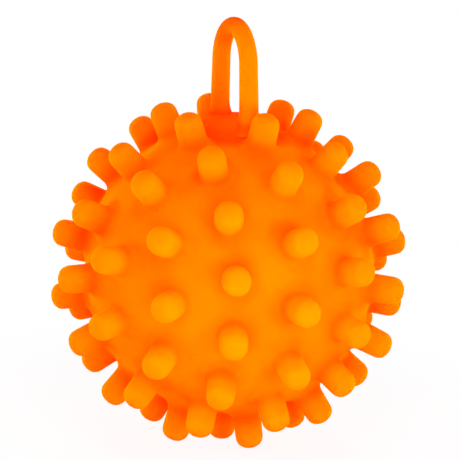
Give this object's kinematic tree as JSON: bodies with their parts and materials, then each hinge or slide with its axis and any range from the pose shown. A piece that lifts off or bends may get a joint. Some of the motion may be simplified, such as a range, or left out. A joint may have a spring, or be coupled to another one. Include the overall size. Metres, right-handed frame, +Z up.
{
  "type": "sensory ball",
  "caption": "Hollow soft rubber sensory ball with blunt nubs all over and a bendable finger loop on a plugged foot at the top.",
  "frame": {"origin": "the lowest nub tip, straight under the ball's centre and its loop", "axes": "+Z up through the loop, +X along the mould axis to the right-hand pole nub, front of the ball faces -Y"},
  "size_m": [0.09, 0.09, 0.108],
  "materials": {
    "ball_rubber": "satin, slightly translucent",
    "loop_rubber": "satin, slightly translucent"
  },
  "bodies": {
    "ball": {"ball_skin": "ball_rubber", "nub_left_pole": "ball_rubber", "nubs_left_inner": "ball_rubber", "nubs_left_middle": "ball_rubber", "nubs_left_outer": "ball_rubber", "nubs_equator": "ball_rubber", "nubs_right_outer": "ball_rubber", "nubs_right_middle": "ball_rubber", "nubs_right_inner": "ball_rubber", "nub_right_pole": "ball_rubber", "loop_stopper": "loop_rubber"},
    "loop": {"finger_loop": "loop_rubber"}
  },
  "joints": [
    {"name": "loop_flex", "type": "hinge", "parent": "ball", "child": "loop", "pos_m": [0, 0, 0.08595], "axis": [0, 1, 0], "range_deg": [-65, 65], "stiffness_Nm_per_rad": 0.002}
  ]
}
